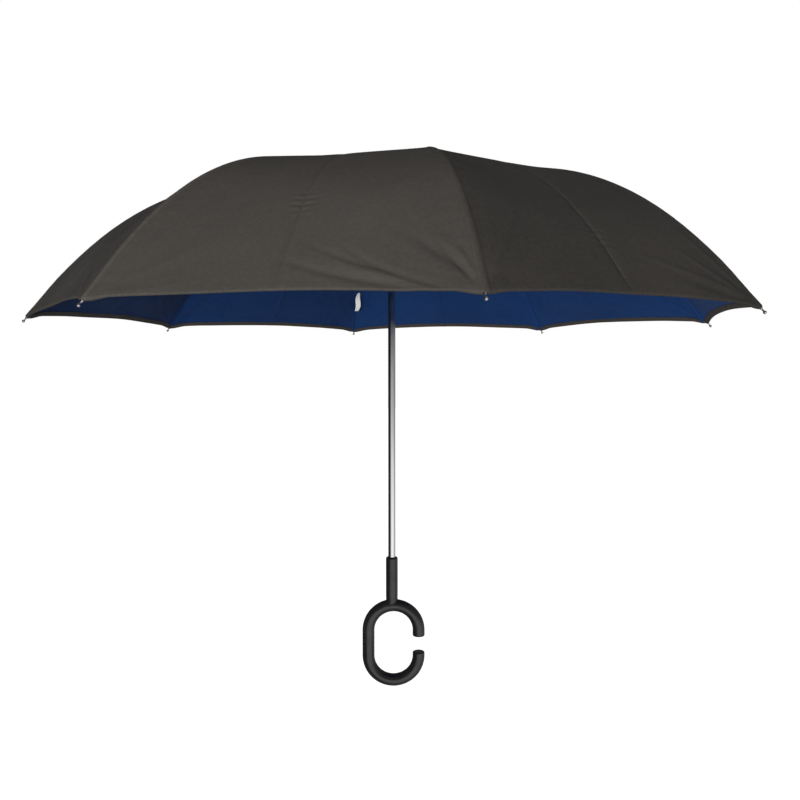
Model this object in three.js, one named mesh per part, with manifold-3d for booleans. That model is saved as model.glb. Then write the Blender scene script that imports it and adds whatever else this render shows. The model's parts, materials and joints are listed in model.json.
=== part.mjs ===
// Stick umbrella with a reverse-folding double canopy and a C-shaped handle, shown open.
// Millimetres, +Z up. The origin is on the shaft's axis, level with the lowest point of the handle.
import * as THREE from 'three';
import { mergeVertices } from 'three/addons/utils/BufferGeometryUtils.js';
import Module from 'manifold-3d';

const wasm = await Module();
wasm.setup();

// ---------------------------------------------------------------- driving dimensions
const RIB_COUNT = 8;
const FIRST_RIB_DEGREES = -81; // the first rib points towards -Y, a little towards +X
const RIM_RADIUS = 520; // shaft axis to a canopy corner
const RIM_HEIGHT = 566; // canopy corners above the lowest point of the handle
const ELBOW_RADIUS = 262; // where a stretcher meets its rib
const CANOPY_SLOPE = THREE.MathUtils.degToRad(12); // from the crown to the elbow
const SLOPE_GAIN = THREE.MathUtils.degToRad(37.4); // more slope from the elbow to the rim
const RIB_DEPTH = 4.4; // ribs' centre line below the top of the outer layer
const FLEX_SHARE = 0.3; // where the steel rib hands over to the glass-fibre one, from elbow to rim
const CLOTH = 0.8; // thickness of each canopy layer
const GAP = 0.3; // between pieces that touch on the real object

const SHAFT_RADIUS = 5.5;
const SHAFT_BORE = 4.8;
const PIVOT_RADIUS = 13; // root hinges of ribs and stretchers, from the shaft's axis
const EYE_RADIUS = 2.6; // rounded hinge end of a rib or stretcher
const EYE_BORE = 1.1;
const WIRE_RADIUS = 0.5; // the wire rings that the eyes turn on

const RIB_WIDTH = 4;
const RIB_HEIGHT = 4.4;
const RIB_WALL = 0.9;
const ROD_RADIUS = 1.7;
const STRETCHER_INNER = 2.6; // a stretcher lies beside its rib, between these two offsets
const STRETCHER_OUTER = 4.1;
const PIN_RADIUS = 0.8;

const GRIP_RADIUS = 9.3; // the handle's round section
const LOOP_HALF_WIDTH = 38.6; // centre line of the C
const LOOP_STRAIGHT = 39.4; // straight part between its two bends
const LOOP_OFFSET = 2.6; // the C's middle from the shaft's axis
const MOUTH_LOW = 53.5; // the C's gap, from the lowest point of the handle
const MOUTH_HIGH = 78;
const STEM_RADIUS = 9.1;
const STEM_TOP = 201;
const SOCKET_DEPTH = 60; // shaft inside the handle

// ---------------------------------------------------------------- materials
const finish = (color, roughness, metalness) =>
  new THREE.MeshStandardMaterial({ color, roughness, metalness });

const MATERIALS = {
  blackCloth: finish(0x3a3735, 0.8, 0),
  navyCloth: finish(0x1c325b, 0.85, 0),
  blackPlastic: finish(0x202022, 0.45, 0),
  polishedSteel: finish(0xc9c9cc, 0.15, 1),
  ribSteel: finish(0x3c3c3e, 0.4, 0.8),
  glassFibre: finish(0x1b1b1c, 0.5, 0),
  label: finish(0xe8e8e4, 0.8, 0),
};

// ---------------------------------------------------------------- shape helpers
function toSolid(geometry) {
  const bare = geometry.index ? geometry.toNonIndexed() : geometry.clone();
  bare.deleteAttribute('normal');
  bare.deleteAttribute('uv');
  const merged = mergeVertices(bare, 1e-4);
  const vertProperties = new Float32Array(merged.attributes.position.array);
  const triVerts = new Uint32Array(merged.index.array);
  return new wasm.Manifold(new wasm.Mesh({ numProp: 3, vertProperties, triVerts }));
}

function toGeometry(solid) {
  const mesh = solid.getMesh();
  const geometry = new THREE.BufferGeometry();
  geometry.setAttribute('position', new THREE.BufferAttribute(new Float32Array(mesh.vertProperties), 3));
  geometry.setIndex(new THREE.BufferAttribute(new Uint32Array(mesh.triVerts), 1));
  geometry.computeVertexNormals();
  return geometry;
}

function fuse(...geometries) {
  return toGeometry(geometries.map(toSolid).reduce((whole, part) => whole.add(part)));
}

function cut(geometry, ...tools) {
  return toGeometry(tools.map(toSolid).reduce((rest, tool) => rest.subtract(tool), toSolid(geometry)));
}

// A block between two opposite corners.
function block(low, high) {
  const size = high.map((value, axis) => value - low[axis]);
  const geometry = new THREE.BoxGeometry(...size);
  return geometry.translate(...low.map((value, axis) => value + size[axis] / 2));
}

// A solid of revolution about Z from [radius, height] points.
function turned(points, segments) {
  const profile = points.map(([radius, height]) => new THREE.Vector2(radius, height));
  return new THREE.LatheGeometry(profile, segments).rotateX(Math.PI / 2);
}

// A hollow one: the outline closes on itself and stays off the axis.
function turnedRing(points, segments) {
  return turned([...points, points[0]], segments);
}

// A rod along Y, between two offsets, at a point of the XZ plane.
function crossRod(radius, from, to, x = 0, z = 0, segments = 8) {
  const rod = new THREE.CylinderGeometry(radius, radius, to - from, segments);
  return rod.translate(x, (from + to) / 2, z);
}

// A plate drawn in the XZ plane, between two offsets along Y.
function plate(shape, from, to) {
  const slab = new THREE.ExtrudeGeometry(shape, { depth: to - from, bevelEnabled: false, curveSegments: 5 });
  return slab.rotateX(Math.PI / 2).translate(0, to, 0);
}

function discShape(radius) {
  const shape = new THREE.Shape();
  shape.absarc(0, 0, radius, 0, 2 * Math.PI);
  return shape;
}

function barShape(from, to, halfHeight) {
  const shape = new THREE.Shape();
  shape.moveTo(from, -halfHeight);
  shape.lineTo(to, -halfHeight);
  shape.lineTo(to, halfHeight);
  shape.lineTo(from, halfHeight);
  return shape;
}

// A wire bent to a circle about Z.
function wireRing(radius) {
  return new THREE.TorusGeometry(radius, WIRE_RADIUS, 5, 26);
}

// ---------------------------------------------------------------- the canopy's line along a rib
// Straight from the crown to the elbow, then bending down more and more to the rim.
const ARC_STEPS = 12;
const slopeAt = (share) => CANOPY_SLOPE + SLOPE_GAIN * Math.sin((share * Math.PI) / 2);
const stepMiddles = Array.from({ length: ARC_STEPS }, (_, step) => (step + 0.5) / ARC_STEPS);
const meanOf = (values) => values.reduce((sum, value) => sum + value, 0) / values.length;
const RUN = meanOf(stepMiddles.map((share) => Math.cos(slopeAt(share))));
const DROP = meanOf(stepMiddles.map((share) => Math.sin(slopeAt(share))));
const ARC_LENGTH = (RIM_RADIUS - ELBOW_RADIUS) / RUN;
const ELBOW_TOP = RIM_HEIGHT + ARC_LENGTH * DROP; // cloth height over the elbow

const archStations = [];
{
  let radius = ELBOW_RADIUS;
  let height = ELBOW_TOP;
  archStations.push({ radius, height, slope: slopeAt(0), share: 0 });
  for (const middle of stepMiddles) {
    radius += (ARC_LENGTH / ARC_STEPS) * Math.cos(slopeAt(middle));
    height -= (ARC_LENGTH / ARC_STEPS) * Math.sin(slopeAt(middle));
    const share = middle + 0.5 / ARC_STEPS;
    archStations.push({ radius, height, slope: slopeAt(share), share });
  }
}

// The same line, lowered by a distance measured square to the cloth.
function lowered(station, depth) {
  return {
    radius: station.radius - depth * Math.sin(station.slope),
    height: station.height - depth * Math.cos(station.slope),
  };
}

// The line at any share of the way from the elbow to the rim.
function archAt(share) {
  const index = Math.min(Math.floor(share * ARC_STEPS), ARC_STEPS - 1);
  const before = archStations[index];
  const after = archStations[index + 1];
  const part = share * ARC_STEPS - index;
  return {
    radius: THREE.MathUtils.lerp(before.radius, after.radius, part),
    height: THREE.MathUtils.lerp(before.height, after.height, part),
    slope: slopeAt(share),
    share,
  };
}

// ---------------------------------------------------------------- hinges
const ribPoint = (share) => lowered(archAt(share), RIB_DEPTH);
const elbow = ribPoint(0);
const flexPivot = ribPoint(FLEX_SHARE);
const crownTop = (radius) => ELBOW_TOP + (ELBOW_RADIUS - radius) * Math.tan(CANOPY_SLOPE);
const NOTCH_PIVOT = crownTop(PIVOT_RADIUS) - 5.6;
const RUNNER_PIVOT = NOTCH_PIVOT - 41;
const innerRibSlope = Math.atan2(RUNNER_PIVOT - elbow.height, elbow.radius - PIVOT_RADIUS);
const stretcherSlope = Math.atan2(NOTCH_PIVOT - elbow.height, elbow.radius - PIVOT_RADIUS);
const stretcherLength = Math.hypot(NOTCH_PIVOT - elbow.height, elbow.radius - PIVOT_RADIUS);

// ---------------------------------------------------------------- handle and shaft
function makeHandle() {
  const lowBend = GRIP_RADIUS + LOOP_HALF_WIDTH;
  const highBend = lowBend + LOOP_STRAIGHT;
  const points = [new THREE.Vector3(LOOP_OFFSET + LOOP_HALF_WIDTH, 0, MOUTH_HIGH)];
  const bendSteps = 14;
  for (let step = 0; step <= bendSteps; step += 1) {
    const turn = (step / bendSteps) * Math.PI;
    const x = LOOP_OFFSET + LOOP_HALF_WIDTH * Math.cos(turn);
    points.push(new THREE.Vector3(x, 0, highBend + LOOP_HALF_WIDTH * Math.sin(turn)));
  }
  for (let step = 0; step <= bendSteps; step += 1) {
    const turn = Math.PI + (step / bendSteps) * Math.PI;
    const x = LOOP_OFFSET + LOOP_HALF_WIDTH * Math.cos(turn);
    points.push(new THREE.Vector3(x, 0, lowBend + LOOP_HALF_WIDTH * Math.sin(turn)));
  }
  points.push(new THREE.Vector3(LOOP_OFFSET + LOOP_HALF_WIDTH, 0, MOUTH_LOW));
  const line = new THREE.CurvePath();
  for (let index = 1; index < points.length; index += 1) {
    line.add(new THREE.LineCurve3(points[index - 1], points[index]));
  }
  const section = new THREE.Shape();
  section.absarc(0, 0, GRIP_RADIUS, 0, 2 * Math.PI);
  const loop = new THREE.ExtrudeGeometry(section, {
    steps: 38,
    curveSegments: 6,
    bevelEnabled: false,
    extrudePath: line,
  });
  const loopTop = highBend + LOOP_HALF_WIDTH;
  const stem = turned(
    [[0, loopTop - 4], [STEM_RADIUS, loopTop - 4], [STEM_RADIUS, STEM_TOP - 1.5], [STEM_RADIUS - 1.5, STEM_TOP],
      [0, STEM_TOP]],
    20,
  );
  const socket = turned(
    [[0, STEM_TOP - SOCKET_DEPTH], [SHAFT_RADIUS + GAP, STEM_TOP - SOCKET_DEPTH],
      [SHAFT_RADIUS + GAP, STEM_TOP + 5], [0, STEM_TOP + 5]],
    20,
  );
  return cut(fuse(loop, stem), socket);
}

const SHAFT_TOP = NOTCH_PIVOT + 7;
const PIN_HEIGHT = NOTCH_PIVOT - 11;
const CATCH_TOP = RUNNER_PIVOT - 76.5; // just under the open runner
const CATCH_FOOT = CATCH_TOP - 47;
const CATCH_WIDTH = 3;

function makeShaft() {
  const bottom = STEM_TOP - SOCKET_DEPTH + GAP;
  const tube = turnedRing(
    [[SHAFT_BORE, bottom], [SHAFT_RADIUS, bottom], [SHAFT_RADIUS, SHAFT_TOP], [SHAFT_BORE, SHAFT_TOP]],
    20,
  );
  const slotHalf = CATCH_WIDTH / 2 + 0.4;
  const catchSlot = block([2, -slotHalf, CATCH_TOP - 29], [8, slotHalf, CATCH_TOP + 2]);
  return cut(tube, catchSlot, crossRod(1.3, -10, 10, 0, PIN_HEIGHT, 10));
}

// Leaf spring inside the shaft: its nose stands out of the slot and holds the runner up.
function makeCatchSpring() {
  const shape = new THREE.Shape();
  shape.moveTo(2.6, CATCH_FOOT - 4);
  shape.lineTo(3.8, CATCH_FOOT - 4);
  shape.lineTo(3.8, CATCH_TOP - 26);
  shape.lineTo(8.8, CATCH_TOP - 1.5);
  shape.lineTo(8.8, CATCH_TOP);
  shape.lineTo(3, CATCH_TOP);
  shape.lineTo(2.6, CATCH_TOP - 20);
  return plate(shape, -CATCH_WIDTH / 2, CATCH_WIDTH / 2);
}

// ---------------------------------------------------------------- notch, runner and cap
const NOTCH_RING = Math.hypot(PIVOT_RADIUS, (STRETCHER_INNER + STRETCHER_OUTER) / 2);

// Cuts one slot in each rib's direction, between two offsets from the rib's plane.
function slotted(body, low, high, from, to) {
  const slots = [];
  for (let index = 0; index < RIB_COUNT; index += 1) {
    const slot = block([9.9, from, low], [20, to, high]);
    slots.push(slot.rotateZ(ribAngle(index)));
  }
  return cut(body, ...slots);
}

// An open groove around the top of a hub, for its wire ring.
function wireGroove(radius, pivot) {
  const half = WIRE_RADIUS + GAP;
  return turnedRing(
    [[radius - half, pivot - half], [radius + half, pivot - half], [radius + half, pivot + 20],
      [radius - half, pivot + 20]],
    24,
  );
}

function makeTopNotch() {
  const inner = SHAFT_RADIUS + GAP;
  const low = NOTCH_PIVOT - 16;
  const body = turnedRing(
    [[inner, low], [8, low], [8, NOTCH_PIVOT - 5], [16, NOTCH_PIVOT - 4.5], [16, NOTCH_PIVOT + 3.2],
      [7.8, NOTCH_PIVOT + 3.6], [7.8, NOTCH_PIVOT + 7], [inner, NOTCH_PIVOT + 7]],
    24,
  );
  const grooved = cut(body, wireGroove(NOTCH_RING, NOTCH_PIVOT), crossRod(1.3, -10, 10, 0, PIN_HEIGHT, 10));
  const clear = 0.35;
  return slotted(grooved, NOTCH_PIVOT - 4.9, NOTCH_PIVOT + 10, STRETCHER_INNER - clear, STRETCHER_OUTER + clear);
}

const RUNNER_BOTTOM = RUNNER_PIVOT - 75;

function makeRunner() {
  const inner = SHAFT_RADIUS + 0.4;
  const body = turnedRing(
    [[inner, RUNNER_BOTTOM], [10.4, RUNNER_BOTTOM], [11, RUNNER_BOTTOM + 3], [10.4, RUNNER_BOTTOM + 16],
      [8.6, RUNNER_BOTTOM + 22], [8.6, RUNNER_PIVOT - 4.8], [15.8, RUNNER_PIVOT - 4.8],
      [15.8, RUNNER_PIVOT + 4.2], [inner, RUNNER_PIVOT + 4.2]],
    24,
  );
  const grooved = cut(body, wireGroove(PIVOT_RADIUS, RUNNER_PIVOT));
  return slotted(grooved, RUNNER_PIVOT - 6, RUNNER_PIVOT + 6, -1.55, 1.55);
}

// Clamps the inner canopy's middle under the runner's crown.
function makeCanopyCollar() {
  const top = RUNNER_PIVOT - 5.1;
  return turnedRing(
    [[8.9, top - 3.4], [18.5, top - 3.4], [19.5, top - 2.4], [19.5, top], [8.9, top]],
    24,
  );
}

const CAP_HEIGHT = 5.6;

// Covers the notch and the middle of the outer canopy.
function makeFerruleCap() {
  const low = crownTop(13.5) + 0.9;
  return turned(
    [[0, SHAFT_TOP + GAP], [8.1, SHAFT_TOP + GAP], [8.1, low], [13.5, low], [13.5, low + 1],
      [12.8, low + 2.8], [10.6, low + 4.6], [7.5, low + CAP_HEIGHT], [0, low + CAP_HEIGHT]],
    24,
  );
}

// ---------------------------------------------------------------- ribs, drawn with +X outwards
// A band of the XZ plane along a line of { radius, height, slope } points.
function bandShape(line, above, below) {
  const upper = line.map((point) => lowered(point, -above));
  const lower = line.map((point) => lowered(point, below)).reverse();
  const shape = new THREE.Shape();
  [...lower, ...upper].forEach((point, index) => {
    const draw = index === 0 ? 'moveTo' : 'lineTo';
    shape[draw](point.radius, point.height);
  });
  return shape;
}

// A point of the straight stretch from the runner to the elbow.
function innerPoint(distance) {
  return {
    radius: PIVOT_RADIUS + distance * Math.cos(innerRibSlope),
    height: RUNNER_PIVOT - distance * Math.sin(innerRibSlope),
    slope: innerRibSlope,
  };
}

// A point just before or after the hinge between the two ribs, along the rib there.
function nearFlex(distance) {
  const slope = slopeAt(FLEX_SHARE);
  return {
    radius: flexPivot.radius + distance * Math.cos(slope),
    height: flexPivot.height - distance * Math.sin(slope),
    slope,
  };
}

// Steel channel, open below: straight from the runner to the elbow, then bent to the canopy's line.
// It has a solid eye at the runner and two ears at its outer end.
function makeInnerRib() {
  const half = RIB_WIDTH / 2;
  const bend = { ...elbow, slope: (innerRibSlope + CANOPY_SLOPE) / 2 };
  const curve = [0.1, 0.2].map((share) => ({ ...ribPoint(share), slope: slopeAt(share) }));
  const whole = [innerPoint(7), bend, ...curve, nearFlex(0)];
  const hollow = [innerPoint(11), bend, ...curve, nearFlex(-6)];
  const ears = [nearFlex(-6), nearFlex(4)];
  const pivot = [flexPivot.radius, flexPivot.height];
  const channel = cut(
    fuse(
      plate(bandShape(whole, RIB_HEIGHT / 2, RIB_HEIGHT / 2), -half, half),
      plate(discShape(EYE_RADIUS), -half, half).translate(pivot[0], 0, pivot[1]),
    ),
    plate(bandShape(hollow, RIB_HEIGHT / 2 - RIB_WALL, 4), RIB_WALL - half, half - RIB_WALL),
    plate(bandShape(ears, 4, 4), RIB_WALL - half, half - RIB_WALL),
  );
  const rootEye = plate(discShape(EYE_RADIUS), -1.2, 1.2).translate(PIVOT_RADIUS, 0, RUNNER_PIVOT);
  const rootBar = plate(bandShape([innerPoint(0), innerPoint(9)], 1.9, 1.9), -1.2, 1.2);
  const root = cut(fuse(rootEye, rootBar), crossRod(EYE_BORE, -5, 5, PIVOT_RADIUS, RUNNER_PIVOT));
  return fuse(channel, root, crossRod(PIN_RADIUS, -half, half, ...pivot));
}

// Flat steel link beside the rib, from the top notch to the elbow.
function makeStretcher() {
  const length = stretcherLength;
  const strip = fuse(
    plate(discShape(EYE_RADIUS), STRETCHER_INNER, STRETCHER_OUTER),
    plate(discShape(EYE_RADIUS), STRETCHER_INNER, STRETCHER_OUTER).translate(length, 0, 0),
    plate(barShape(0, length, 1.8), STRETCHER_INNER, STRETCHER_OUTER),
    crossRod(PIN_RADIUS, RIB_WIDTH / 2 + 0.4, STRETCHER_OUTER, length, 0),
    crossRod(1.6, STRETCHER_OUTER - 0.2, STRETCHER_OUTER + 0.7, length, 0, 10),
  );
  return cut(strip, crossRod(EYE_BORE, 0, 8));
}

// Glass-fibre rod from the steel rib to the rim, with a flat eye between that rib's ears.
function makeOuterRib() {
  const steps = 9;
  const points = [nearFlex(6)];
  for (let step = 1; step <= steps; step += 1) {
    points.push(ribPoint(FLEX_SHARE + ((1 - FLEX_SHARE) * step) / steps));
  }
  const line = new THREE.CatmullRomCurve3(
    points.map((point) => new THREE.Vector3(point.radius, 0, point.height)),
  );
  const rod = new THREE.ExtrudeGeometry(discShape(ROD_RADIUS), {
    steps,
    curveSegments: 4,
    bevelEnabled: false,
    extrudePath: line,
  });
  const pivot = [flexPivot.radius, flexPivot.height];
  const tongue = plate(bandShape([nearFlex(0), nearFlex(12)], 1.5, 1.5), -0.8, 0.8);
  const disc = plate(discShape(EYE_RADIUS), -0.8, 0.8).translate(pivot[0], 0, pivot[1]);
  return fuse(rod, cut(fuse(disc, tongue), crossRod(EYE_BORE, -5, 5, ...pivot)));
}

// Metal pin with a ball on its end, drawn along +Z from the rod's end.
function makeRibTip() {
  const ball = 2.1;
  const reach = 8.4;
  const profile = [[0, GAP], [1.7, GAP], [1.7, 3], [1, 3.6], [1, reach - ball]];
  for (let step = 1; step <= 5; step += 1) {
    const turn = (step / 5) * Math.PI * 0.85 + Math.PI * 0.15;
    profile.push([Math.max(0, ball * Math.sin(turn)), reach - ball * Math.cos(turn)]);
  }
  profile[profile.length - 1][0] = 0;
  return turned(profile, 8);
}

// ---------------------------------------------------------------- canopy sectors
// One rib's share of a layer: straight across from the rib to the middle of the gore on each side,
// or only as far as a stated half width.
function makeSector(line, thickness, halfWidth = Infinity) {
  const half = Math.PI / RIB_COUNT;
  const positions = [];
  const across = [-1, 0, 1];
  for (const depth of [0, thickness]) {
    for (const station of line) {
      const { radius, height } = lowered(station, depth);
      const side = Math.min(radius * Math.sin(half) - GAP / 2, halfWidth);
      for (const share of across) {
        const away = Math.abs(share) * side;
        positions.push(radius - away * Math.sin(half), share * away * Math.cos(half), height);
      }
    }
  }
  const width = across.length;
  const count = line.length;
  const at = (layer, row, column) => (layer * count + row) * width + column;
  const indices = [];
  const quad = (a, b, c, d) => indices.push(a, b, c, a, c, d);
  for (let row = 0; row + 1 < count; row += 1) {
    for (let column = 0; column + 1 < width; column += 1) {
      quad(at(0, row, column), at(0, row + 1, column), at(0, row + 1, column + 1), at(0, row, column + 1));
      quad(at(1, row, column), at(1, row, column + 1), at(1, row + 1, column + 1), at(1, row + 1, column));
    }
    quad(at(0, row, 0), at(1, row, 0), at(1, row + 1, 0), at(0, row + 1, 0));
    quad(at(0, row, width - 1), at(0, row + 1, width - 1), at(1, row + 1, width - 1), at(1, row, width - 1));
  }
  for (let column = 0; column + 1 < width; column += 1) {
    quad(at(0, 0, column), at(0, 0, column + 1), at(1, 0, column + 1), at(1, 0, column));
    const last = count - 1;
    quad(at(0, last, column), at(1, last, column), at(1, last, column + 1), at(0, last, column + 1));
  }
  const geometry = new THREE.BufferGeometry();
  geometry.setAttribute('position', new THREE.Float32BufferAttribute(positions, 3));
  geometry.setIndex(indices);
  geometry.computeVertexNormals();
  return geometry;
}

// Outer layer: over the stretchers, then on the outer ribs.
const CROWN_RADIUS = 10.4;
const crown = { radius: CROWN_RADIUS, height: crownTop(CROWN_RADIUS), slope: CANOPY_SLOPE, share: 0 };
const outerLine = [crown, ...archStations];

// Inner layer: under the inner ribs, then under the outer ribs.
const NAVY_CLEARANCE = 3.1; // below a rib's centre line
const innerHubRadius = 17.6;
const innerHub = {
  radius: innerHubRadius,
  height: RUNNER_PIVOT - (innerHubRadius - PIVOT_RADIUS) * Math.tan(innerRibSlope) - NAVY_CLEARANCE,
  slope: innerRibSlope,
};
const innerLine = [innerHub, ...archStations.map((station) => innerStation(station.share))];

function innerStation(share) {
  return { ...lowered(archAt(share), RIB_DEPTH + NAVY_CLEARANCE), slope: slopeAt(share), share };
}

// A strip of cloth lying just under the inner layer, along a rib, between two shares of the arc.
function makeStrip(from, to, width, thickness) {
  const steps = 6;
  const line = [];
  for (let step = 0; step <= steps; step += 1) {
    const share = from + ((to - from) * step) / steps;
    const station = innerStation(share);
    line.push({ ...lowered(station, CLOTH + GAP), slope: station.slope });
  }
  return makeSector(line, thickness, width / 2);
}

// ---------------------------------------------------------------- assembly
const umbrella = new THREE.Group();
umbrella.name = 'stick_umbrella';

function add(name, geometry, material, parent = umbrella) {
  const mesh = new THREE.Mesh(geometry, material.clone());
  mesh.name = name;
  parent.add(mesh);
  return mesh;
}

function ribAngle(index) {
  return THREE.MathUtils.degToRad(FIRST_RIB_DEGREES + (index * 360) / RIB_COUNT);
}

add('handle', makeHandle(), MATERIALS.blackPlastic);
add('shaft', makeShaft(), MATERIALS.polishedSteel);
add('catch_spring', makeCatchSpring(), MATERIALS.polishedSteel);
add('top_notch', makeTopNotch(), MATERIALS.blackPlastic);
add('notch_wire', wireRing(NOTCH_RING), MATERIALS.polishedSteel).position.z = NOTCH_PIVOT;
add('notch_pin', crossRod(1, -7.6, 7.6, 0, PIN_HEIGHT, 10), MATERIALS.polishedSteel);
add('ferrule_cap', makeFerruleCap(), MATERIALS.blackPlastic);
add('runner', makeRunner(), MATERIALS.blackPlastic);
add('runner_wire', wireRing(PIVOT_RADIUS), MATERIALS.polishedSteel).position.z = RUNNER_PIVOT;
add('canopy_collar', makeCanopyCollar(), MATERIALS.blackPlastic);

const LABEL_RIB = 4;
const STRAP_RIB = 2;
const tipStation = archStations[archStations.length - 1];
const tipSeat = lowered(tipStation, RIB_DEPTH);

for (let index = 0; index < RIB_COUNT; index += 1) {
  const number = index + 1;
  const spoke = new THREE.Group();
  spoke.rotation.z = ribAngle(index);
  umbrella.add(spoke);

  add(`rib_inner_${number}`, makeInnerRib(), MATERIALS.ribSteel, spoke);

  const stretcher = add(`stretcher_${number}`, makeStretcher(), MATERIALS.ribSteel, spoke);
  stretcher.position.set(PIVOT_RADIUS, 0, NOTCH_PIVOT);
  stretcher.rotation.y = stretcherSlope;

  add(`rib_outer_${number}`, makeOuterRib(), MATERIALS.glassFibre, spoke);

  const tip = add(`rib_tip_${number}`, makeRibTip(), MATERIALS.polishedSteel, spoke);
  tip.position.set(tipSeat.radius, 0, tipSeat.height);
  tip.rotation.y = Math.PI / 2 + tipStation.slope;

  add(`outer_canopy_${number}`, makeSector(outerLine, CLOTH), MATERIALS.blackCloth, spoke);
  add(`inner_canopy_${number}`, makeSector(innerLine, CLOTH), MATERIALS.navyCloth, spoke);

  if (index === LABEL_RIB) {
    add('care_label', makeStrip(0.69, 0.81, 14, 0.8), MATERIALS.label, spoke);
  }
  if (index === STRAP_RIB) {
    add('closure_strap', makeStrip(0.36, 0.72, 18, 1), MATERIALS.navyCloth, spoke);
  }
}

umbrella.updateMatrixWorld(true);
export default umbrella;
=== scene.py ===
"""Looks of a reverse-folding stick umbrella: a charcoal outer canopy layer, a navy inner one, a polished
shaft and a black C-shaped handle. Metres, +Z up. The origin is on the shaft's axis, level with the lowest
point of the handle."""

import json
import math

import bmesh
import bpy
import numpy as np
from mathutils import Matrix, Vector


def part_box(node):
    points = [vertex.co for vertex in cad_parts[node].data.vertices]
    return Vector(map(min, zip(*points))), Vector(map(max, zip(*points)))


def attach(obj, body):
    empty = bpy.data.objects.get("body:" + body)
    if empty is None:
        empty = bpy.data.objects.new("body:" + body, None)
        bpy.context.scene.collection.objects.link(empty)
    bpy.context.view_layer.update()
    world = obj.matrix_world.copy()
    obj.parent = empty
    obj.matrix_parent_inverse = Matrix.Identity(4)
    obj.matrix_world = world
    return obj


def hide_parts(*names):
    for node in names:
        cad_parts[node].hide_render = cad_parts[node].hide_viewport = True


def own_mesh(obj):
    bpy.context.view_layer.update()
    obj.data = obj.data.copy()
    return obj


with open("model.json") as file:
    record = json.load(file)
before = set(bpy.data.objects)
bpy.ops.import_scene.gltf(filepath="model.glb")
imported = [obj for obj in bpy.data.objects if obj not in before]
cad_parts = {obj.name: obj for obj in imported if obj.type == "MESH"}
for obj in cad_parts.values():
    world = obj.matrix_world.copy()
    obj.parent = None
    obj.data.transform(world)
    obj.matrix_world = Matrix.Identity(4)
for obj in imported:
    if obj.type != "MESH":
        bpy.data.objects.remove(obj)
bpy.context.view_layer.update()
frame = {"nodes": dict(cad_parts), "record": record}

# ---------------------------------------------------------------- sizes, the same as the CAD model's
RIB_COUNT = 8
STEP = 2 * math.pi / RIB_COUNT  # from one rib to the next
FIRST_RIB = math.radians(-81)
RIM_RADIUS = 0.520
RIM_HEIGHT = 0.566
ELBOW_RADIUS = 0.262
CROWN_SLOPE = math.radians(12)
SLOPE_GAIN = math.radians(37.4)
FLEX_SHARE = 0.3
LAYER_DISTANCE = 0.0075  # from the outer layer's top to the inner layer's top
CROWN_RADIUS = 0.0104  # where the outer layer starts, under the cap
HUB_RADIUS = 0.0176  # where the inner layer starts, at the runner
PIVOT_RADIUS = 0.013
RUNNER_DROP = 0.0466  # outer layer above the ribs' hinges in the runner
HUB_DROP = 0.0033  # the inner layer's start under those hinges

SHAFT_RADIUS = 0.0055
SHAFT_BORE = 0.0048
GRIP_RADIUS = 0.0093
LOOP_HALF_WIDTH = 0.0386
LOOP_STRAIGHT = 0.0394
LOOP_OFFSET = 0.0026
MOUTH_LOW = 0.0535
MOUTH_HIGH = 0.078
STEM_RADIUS = 0.0091
STEM_TOP = 0.201
SOCKET_DEPTH = 0.060
CAP_HEIGHT = 0.0056
RUNNER_PIVOT_RISE = 0.075  # the ribs' hinges above the runner's lower end

# ---------------------------------------------------------------- sizes of the cloth
CLOTH = 0.0005
SPLIT_REACH = 0.034  # how much farther out the layers are divided between ribs than on them
HEM_FOLD = 0.0075  # black cloth turned under the navy edge
SEAM_STITCH = 0.0036  # from a rib seam to the stitch lines on both sides of it
HEM_STITCH = 0.0062  # from the hem to its stitch line
STITCH = 0.0032  # one stitch and the gap after it
THREAD_PITCH = 0.0007
LABEL_RIB = 4
STRAP_RIB = 2
STRAP_WIDTH = 0.018
# How far the hem is drawn in between two corners, for each gore; gore 0 is between ribs 0 and 1.
SCALLOPS = np.array([0.013, 0.011, 0.013, 0.013, 0.013, 0.012, 0.013, 0.009])
# Height of the folds that fan out of each gore's first and second corner.
FANS = np.array([
    [0.0011, 0.0008], [0.0009, 0.0010], [0.0010, 0.0009], [0.0009, 0.0010],
    [0.0010, 0.0009], [0.0009, 0.0009], [0.0008, 0.0006], [0.0006, 0.0004],
])
# The first rib pulls its corner hard, so the gore before it folds there. Each fold has its angle from the
# rib, bend per metre, half width, height, and where it starts and ends, from the corner.
FRONT_FOLDS = [
    (1.44, -1.0, 0.0060, -0.0017, 0.050, 0.23),
    (1.36, -2.0, 0.0065, 0.0012, 0.040, 0.17),
    (1.28, -1.3, 0.0055, -0.0013, 0.090, 0.20),
    (1.27, -3.0, 0.0050, -0.0016, 0.025, 0.16),
    (0.62, 0.75, 0.0055, -0.0013, 0.030, 0.12),
    (0.47, 0.0, 0.0045, -0.0024, 0.000, 0.08),
    (0.30, 0.2, 0.0040, 0.0014, 0.000, 0.07),
]
# Painted light and shade: each gore's cloth is given a lighter or darker colour, standing in for how the
# light falls on it.
OUTER_PAINTED_LIGHT = np.array([0.44, 0.52, 0.47, 0.54, 0.46, 0.53, 0.32, 0.64])
INNER_PAINTED_LIGHT = np.array([0.50, 1.00, 0.68, 0.62, 0.42, 0.10, 0.45, 0.50])

random = np.random.default_rng(5)


# ---------------------------------------------------------------- the canopy's line along a rib
def slope_at(share):
    return CROWN_SLOPE + SLOPE_GAIN * np.sin(share * math.pi / 2)


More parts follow.
